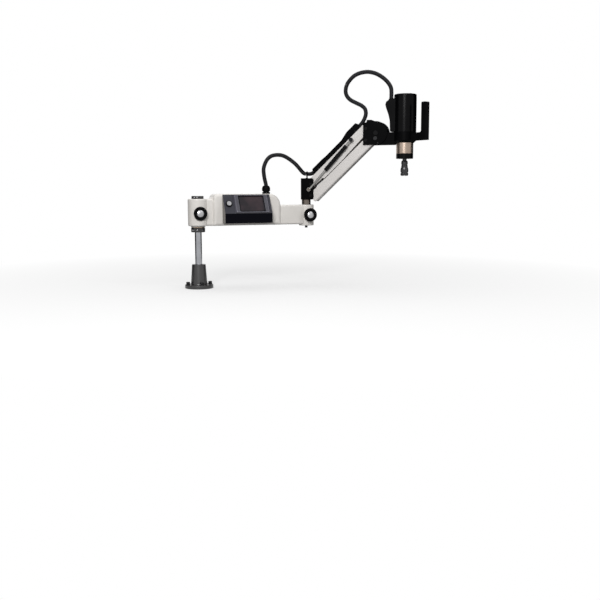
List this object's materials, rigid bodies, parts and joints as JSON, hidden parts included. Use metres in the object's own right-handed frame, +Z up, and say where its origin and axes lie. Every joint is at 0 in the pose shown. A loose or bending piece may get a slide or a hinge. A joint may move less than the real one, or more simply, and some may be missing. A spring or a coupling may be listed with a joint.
{
  "type": "arm tapping machine",
  "caption": "Bench-mounted tapping machine: a swinging arm with a control console carries a gas-sprung parallel arm and a tilting electric tapping head.",
  "frame": {"origin": "middle of the base flange's underside, on the column's axis", "axes": "+Z up along the column, +X along the first arm towards the elbow, -Y towards the user's side with the console"},
  "size_m": [0.959, 0.4616, 0.9316],
  "materials": {
    "cast_black": "semi-gloss black enamel",
    "ground_steel": "ground and polished steel",
    "fastener_steel": "blackened steel fasteners",
    "bronze": "turned bearing bronze",
    "arm_paint": "off-white powder coat over cast aluminium",
    "link_paint": "off-white powder coat over steel channel",
    "bearing_steel": "ground bearing steel",
    "console_shell": "moulded warm grey plastic",
    "console_front": "charcoal plastic, gloss black lower face",
    "screen_glass": "dark display window",
    "black_plastic": "black moulded plastic",
    "silver": "satin chrome",
    "hose_black": "black corrugated cable hose",
    "circuit": "green circuit board with its parts",
    "sheet_steel": "zinc-plated sheet steel",
    "black_enamel": "black powder coat over steel",
    "black_alloy": "gloss black over aluminium",
    "black_cover": "black moulded plastic",
    "gas_black": "black lacquered tube",
    "gas_bright": "bright chromed rod and zinc ends",
    "reducer_bronze": "bronze-coloured anodised gearbox",
    "chuck_steel": "blackened tool steel",
    "button_green": "dark green push button",
    "button_red": "dark red push button"
  },
  "bodies": {
    "stand": {"base_flange": "cast_black", "column": "ground_steel", "column_set_screws": "fastener_steel"},
    "carriage": {"lower_collar": "cast_black", "upper_collar": "cast_black", "collar_screws": "fastener_steel", "thrust_washer": "bronze"},
    "first_arm": {"arm_casting": "arm_paint", "rear_cover": "arm_paint", "rear_cover_screws": "fastener_steel", "column_bushes": "bronze", "elbow_bearings": "bearing_steel", "console_housing": "console_shell", "console_panel": "console_front", "screen_bezel": "console_front", "screen": "screen_glass", "button_collar": "black_plastic", "control_board": "circuit", "power_supply": "sheet_steel", "hose_gland": "black_plastic", "gland_nut": "black_plastic", "hose_lower": "hose_black"},
    "power_button": {"power_button": "silver"},
    "swing_knob": {"swing_knob": "black_plastic", "swing_knob_insert": "silver"},
    "elbow_knob": {"elbow_knob": "black_plastic", "elbow_knob_insert": "silver"},
    "yoke": {"elbow_yoke": "black_enamel", "elbow_shaft": "bearing_steel", "elbow_retaining_nut": "fastener_steel", "yoke_pins": "bearing_steel", "gas_lower_stud": "fastener_steel", "hose_clip": "black_plastic"},
    "upper_link": {"upper_link": "link_paint", "hose_cover": "black_enamel", "hose_cover_screws": "fastener_steel", "gas_upper_stud": "fastener_steel", "hose_middle": "hose_black"},
    "lower_link": {"lower_link": "link_paint"},
    "gas_rod": {"gas_rod": "gas_bright", "gas_rod_end": "gas_bright"},
    "gas_cylinder": {"gas_cylinder": "gas_black", "gas_cylinder_end": "gas_bright"},
    "head_bracket": {"head_bracket": "black_enamel", "head_pins": "bearing_steel", "tilt_bolt": "bearing_steel", "tilt_lock_screw": "fastener_steel", "hose_upper": "hose_black"},
    "tilt_head": {"motor_bracket": "black_alloy", "motor_housing": "black_alloy", "motor_cap": "black_alloy", "connector_box": "black_cover", "reducer": "reducer_bronze", "reducer_ring": "black_alloy", "handle": "black_cover", "handle_bolts": "fastener_steel"},
    "spindle": {"spindle_chuck": "chuck_steel"},
    "chuck_sleeve": {"chuck_sleeve": "chuck_steel"},
    "forward_button": {"forward_button": "button_green"},
    "reverse_button": {"reverse_button": "button_red"}
  },
  "joints": [
    {"name": "height_slide", "type": "slide", "parent": "stand", "child": "carriage", "axis": [0, 0, 1], "range_m": [-0.12, 0]},
    {"name": "arm_swing", "type": "hinge", "parent": "carriage", "child": "first_arm", "pos_m": [0, 0, 0.3], "axis": [0, 0, 1], "range_deg": [-170, 170]},
    {"name": "elbow_swing", "type": "hinge", "parent": "first_arm", "child": "yoke", "pos_m": [0.5, 0, 0.36], "axis": [0, 0, 1], "range_deg": [-75, 151], "deforming": ["hose_lower"]},
    {"name": "lift", "type": "hinge", "parent": "yoke", "child": "upper_link", "pos_m": [0.52443, -0.01909, 0.446], "axis": [-0.6157, -0.788, 0], "range_deg": [-64, 4], "deforming": ["hose_middle", "hose_upper"]},
    {"name": "lower_link_hinge", "type": "hinge", "parent": "yoke", "child": "lower_link", "pos_m": [0.52443, -0.01909, 0.396], "axis": [-0.6157, -0.788, 0], "range_deg": [-65, 5]},
    {"name": "head_level", "type": "hinge", "parent": "upper_link", "child": "head_bracket", "pos_m": [0.71927, -0.17131, 0.68228], "axis": [-0.6157, -0.788, 0], "range_deg": [-5, 65]},
    {"name": "gas_rod_hinge", "type": "hinge", "parent": "yoke", "child": "gas_rod", "pos_m": [0.51891, -0.01478, 0.4225], "axis": [-0.6157, -0.788, 0], "range_deg": [-62, 5]},
    {"name": "gas_cylinder_hinge", "type": "hinge", "parent": "upper_link", "child": "gas_cylinder", "pos_m": [0.67016, -0.13295, 0.63532], "axis": [-0.6157, -0.788, 0], "range_deg": [-0.5, 4]},
    {"name": "tilt", "type": "hinge", "parent": "head_bracket", "child": "tilt_head", "pos_m": [0.7537, -0.19822, 0.66298], "axis": [-0.6157, -0.788, 0], "range_deg": [0, 90]},
    {"name": "spindle_turn", "type": "hinge", "parent": "tilt_head", "child": "spindle", "pos_m": [0.84945, -0.27302, 0.54], "axis": [0, 0, 1], "continuous": true},
    {"name": "sleeve_slide", "type": "slide", "parent": "spindle", "child": "chuck_sleeve", "axis": [0, 0, 1], "range_m": [0, 0.005], "stiffness_N_per_m": 500},
    {"name": "power_press", "type": "slide", "parent": "first_arm", "child": "power_button", "axis": [0, 0.8762, -0.4819], "range_m": [0, 0.002], "stiffness_N_per_m": 400},
    {"name": "forward_press", "type": "slide", "parent": "tilt_head", "child": "forward_button", "axis": [0.2924, -0.9563, 0], "range_m": [0, 0.0015], "stiffness_N_per_m": 400},
    {"name": "reverse_press", "type": "slide", "parent": "tilt_head", "child": "reverse_button", "axis": [0.2924, -0.9563, 0], "range_m": [0, 0.0015], "stiffness_N_per_m": 400},
    {"name": "swing_knob_turn", "type": "hinge", "parent": "first_arm", "child": "swing_knob", "pos_m": [0, -0.045, 0.322], "axis": [0, -1, 0], "range_deg": [-180, 180]},
    {"name": "elbow_knob_turn", "type": "hinge", "parent": "first_arm", "child": "elbow_knob", "pos_m": [0.5, -0.05, 0.3105], "axis": [0, -1, 0], "range_deg": [-180, 180]}
  ],
  "couplings": [
    {"joint": "lower_link_hinge", "follows": "lift", "ratio": 1},
    {"joint": "head_level", "follows": "lift", "ratio": -1},
    {"joint": "gas_rod_hinge", "follows": "lift", "ratio": 0.9467},
    {"joint": "gas_cylinder_hinge", "follows": "lift", "ratio": -0.0533}
  ]
}
